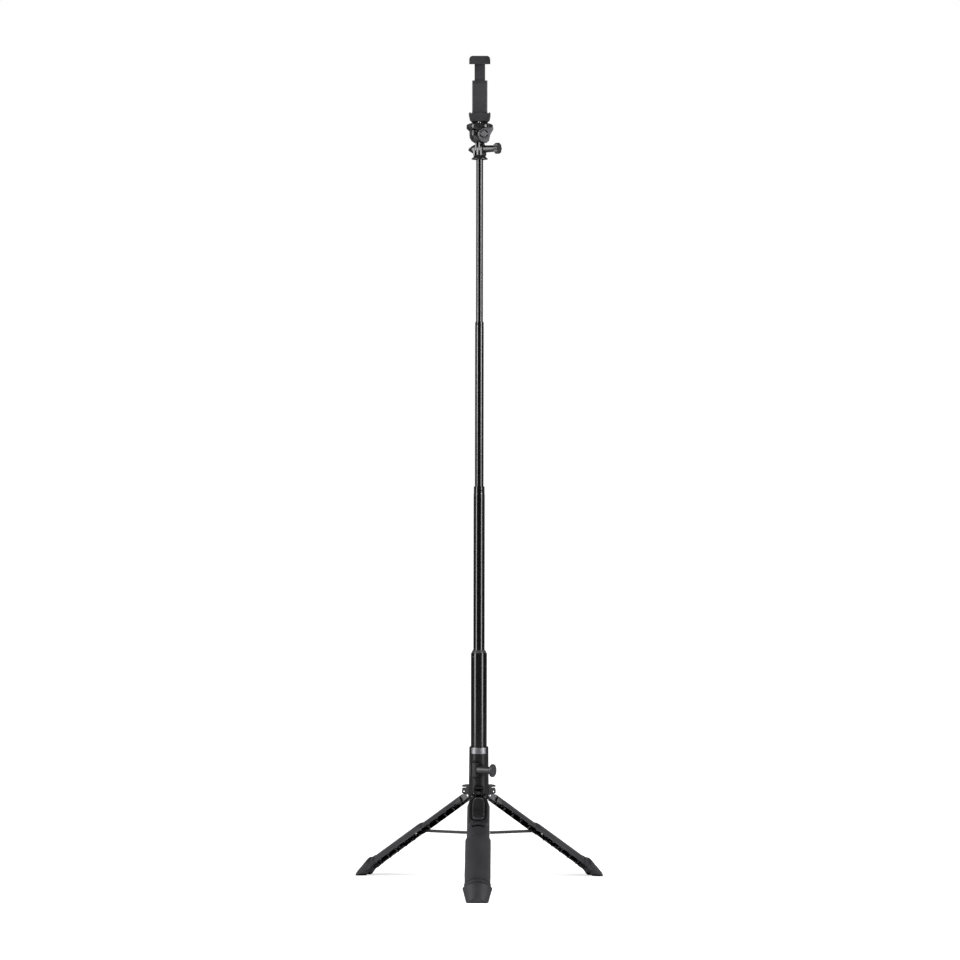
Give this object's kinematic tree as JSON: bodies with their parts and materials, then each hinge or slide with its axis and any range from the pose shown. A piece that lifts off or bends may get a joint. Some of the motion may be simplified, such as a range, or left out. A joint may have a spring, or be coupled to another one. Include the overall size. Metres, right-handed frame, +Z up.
{
  "type": "selfie stick",
  "caption": "Telescoping selfie stick with fold-out tripod legs, a ball head, a sliding phone clamp and a docked remote control.",
  "frame": {"origin": "on the ground, on the pole's axis", "axes": "+Z up the pole, -Y towards the front leg with the remote, +X to the right seen from the front"},
  "size_m": [0.3816, 0.3308, 1.245],
  "materials": {
    "black_anodised": "bright black anodised tube",
    "black_steel": "blackened steel",
    "brass": "turned brass",
    "bush_plastic": "dark plain plastic",
    "circuit_board": "green lacquer",
    "collar_plastic": "satin black moulded plastic",
    "gloss_plastic": "gloss black plastic",
    "grip_plastic": "soft-touch black plastic",
    "knob_plastic": "fine-textured black plastic",
    "rubber": "matt black rubber",
    "shell_plastic": "satin black moulded plastic",
    "silver_plate": "satin silver plate",
    "steel": "bright steel"
  },
  "bodies": {
    "base": {"collar_body": "collar_plastic", "badge_plate": "silver_plate", "guide_sleeve": "black_anodised", "brace_hub": "bush_plastic", "hub_pins": "steel", "leg_pins": "steel", "lever_pins": "steel", "clamp_nut": "steel"},
    "clamp_knob": {"clamp_knob": "knob_plastic", "clamp_screw": "steel"},
    "leg_front": {"leg_shell_front": "shell_plastic", "leg_grip_front": "grip_plastic", "foot_front": "rubber", "grip_rivets_front": "steel"},
    "brace_front": {"brace_front": "black_steel", "brace_pin_front": "steel"},
    "lever_front": {"lever_front": "knob_plastic"},
    "leg_right": {"leg_shell_right": "shell_plastic", "leg_grip_right": "grip_plastic", "foot_right": "rubber", "grip_rivets_right": "steel"},
    "brace_right": {"brace_right": "black_steel", "brace_pin_right": "steel"},
    "lever_right": {"lever_right": "knob_plastic"},
    "leg_left": {"leg_shell_left": "shell_plastic", "leg_grip_left": "grip_plastic", "foot_left": "rubber", "grip_rivets_left": "steel"},
    "brace_left": {"brace_left": "black_steel", "brace_pin_left": "steel"},
    "lever_left": {"lever_left": "knob_plastic"},
    "remote": {"remote_front_shell": "gloss_plastic", "remote_back_shell": "gloss_plastic", "remote_board": "circuit_board", "remote_cell": "steel"},
    "remote_button": {"remote_button": "gloss_plastic"},
    "pole": {"base_tube": "black_anodised", "base_stop_ring": "bush_plastic", "base_tip_ring": "bush_plastic"},
    "stage_2": {"tube_2": "black_anodised", "tube_2_bush": "bush_plastic"},
    "stage_3": {"tube_3": "black_anodised", "tube_3_bush": "bush_plastic"},
    "stage_4": {"tube_4": "black_anodised", "tube_4_bush": "bush_plastic", "pole_head": "gloss_plastic", "mount_nut": "gloss_plastic"},
    "thumbscrew": {"thumbscrew_knob": "gloss_plastic", "thumbscrew_bolt": "steel"},
    "ball_head": {"ball_housing": "gloss_plastic", "ball_cup": "bush_plastic"},
    "lock_ring": {"lock_ring": "gloss_plastic"},
    "wing_knob": {"wing_knob": "knob_plastic"},
    "ball": {"ball_stud": "steel"},
    "phone_clamp": {"clamp_frame": "knob_plastic", "frame_pads": "rubber", "tripod_insert": "brass"},
    "upper_jaw": {"jaw_slide": "knob_plastic", "slide_pad": "rubber"},
    "jaw_knob": {"jaw_lock_knob": "knob_plastic"}
  },
  "joints": [
    {"name": "leg_front_fold", "type": "hinge", "parent": "base", "child": "leg_front", "pos_m": [0, -0.014, 0.133], "axis": [1, 0, 0], "range_deg": [0, 55.7]},
    {"name": "brace_front_turn", "type": "hinge", "parent": "base", "child": "brace_front", "pos_m": [0, -0.016, 0.076], "axis": [1, 0, 0], "range_deg": [0, 88.95]},
    {"name": "lever_front_press", "type": "hinge", "parent": "base", "child": "lever_front", "pos_m": [0, -0.0212, 0.1388], "axis": [1, 0, 0], "range_deg": [0, 6], "stiffness_Nm_per_rad": 0.02, "springref_deg": -5.73},
    {"name": "leg_right_fold", "type": "hinge", "parent": "base", "child": "leg_right", "pos_m": [0.01212, 0.007, 0.133], "axis": [-0.5, 0.866, 0], "range_deg": [0, 55.7]},
    {"name": "brace_right_turn", "type": "hinge", "parent": "base", "child": "brace_right", "pos_m": [0.01386, 0.008, 0.076], "axis": [-0.5, 0.866, 0], "range_deg": [0, 88.95]},
    {"name": "lever_right_press", "type": "hinge", "parent": "base", "child": "lever_right", "pos_m": [0.01836, 0.0106, 0.1388], "axis": [-0.5, 0.866, 0], "range_deg": [0, 6], "stiffness_Nm_per_rad": 0.02, "springref_deg": -5.73},
    {"name": "leg_left_fold", "type": "hinge", "parent": "base", "child": "leg_left", "pos_m": [-0.01212, 0.007, 0.133], "axis": [-0.5, -0.866, 0], "range_deg": [0, 55.7]},
    {"name": "brace_left_turn", "type": "hinge", "parent": "base", "child": "brace_left", "pos_m": [-0.01386, 0.008, 0.076], "axis": [-0.5, -0.866, 0], "range_deg": [0, 88.95]},
    {"name": "lever_left_press", "type": "hinge", "parent": "base", "child": "lever_left", "pos_m": [-0.01836, 0.0106, 0.1388], "axis": [-0.5, -0.866, 0], "range_deg": [0, 6], "stiffness_Nm_per_rad": 0.02, "springref_deg": -5.73},
    {"name": "remote_lift", "type": "slide", "parent": "leg_front", "child": "remote", "axis": [0, -0.5635, 0.8261], "range_m": [0, 0.02]},
    {"name": "remote_button_press", "type": "slide", "parent": "remote", "child": "remote_button", "axis": [0, 0.5635, -0.8261], "range_m": [0, 0.0006], "stiffness_N_per_m": 300, "springref_m": -0.001},
    {"name": "clamp_knob_turn", "type": "hinge", "parent": "base", "child": "clamp_knob", "pos_m": [-0.0084, -0.01648, 0.1734], "axis": [0.891, -0.454, 0], "range_deg": [0, 270]},
    {"name": "pole_slide", "type": "slide", "parent": "base", "child": "pole", "axis": [0, 0, 1], "range_m": [-0.06, 0]},
    {"name": "tube_2_slide", "type": "slide", "parent": "pole", "child": "stage_2", "axis": [0, 0, 1], "range_m": [-0.232, 0]},
    {"name": "tube_3_slide", "type": "slide", "parent": "stage_2", "child": "stage_3", "axis": [0, 0, 1], "range_m": [-0.232, 0]},
    {"name": "tube_4_slide", "type": "slide", "parent": "stage_3", "child": "stage_4", "axis": [0, 0, 1], "range_m": [-0.232, 0]},
    {"name": "thumbscrew_turn", "type": "hinge", "parent": "stage_4", "child": "thumbscrew", "pos_m": [0, 0, 1.106], "axis": [0.891, -0.454, 0], "range_deg": [0, 270]},
    {"name": "head_tilt", "type": "hinge", "parent": "stage_4", "child": "ball_head", "pos_m": [0, 0, 1.106], "axis": [0.891, -0.454, 0], "range_deg": [-60, 60]},
    {"name": "lock_ring_turn", "type": "hinge", "parent": "ball_head", "child": "lock_ring", "pos_m": [0, 0, 1.138], "axis": [0, 0, 1], "range_deg": [-40, 40]},
    {"name": "wing_knob_turn", "type": "hinge", "parent": "ball_head", "child": "wing_knob", "pos_m": [0, 0, 1.1267], "axis": [0.2419, -0.9703, 0], "range_deg": [-90, 90]},
    {"name": "ball_tilt", "type": "hinge", "parent": "ball_head", "child": "ball", "pos_m": [0, 0, 1.136], "axis": [1, 0, 0], "range_deg": [-8, 8]},
    {"name": "phone_clamp_swivel", "type": "hinge", "parent": "ball", "child": "phone_clamp", "pos_m": [0, 0, 1.148], "axis": [0, 0, 1], "continuous": true},
    {"name": "upper_jaw_slide", "type": "slide", "parent": "phone_clamp", "child": "upper_jaw", "axis": [0, 0, 1], "range_m": [-0.02, 0.012]},
    {"name": "jaw_knob_turn", "type": "hinge", "parent": "phone_clamp", "child": "jaw_knob", "pos_m": [0, 0.014, 1.194], "axis": [0, 1, 0], "range_deg": [0, 270]}
  ],
  "couplings": [
    {"joint": "brace_front_turn", "follows": "leg_front_fold", "ratio": 1.5969},
    {"joint": "leg_right_fold", "follows": "leg_front_fold", "ratio": 1},
    {"joint": "brace_right_turn", "follows": "leg_front_fold", "ratio": 1.5969},
    {"joint": "leg_left_fold", "follows": "leg_front_fold", "ratio": 1},
    {"joint": "brace_left_turn", "follows": "leg_front_fold", "ratio": 1.5969}
  ]
}
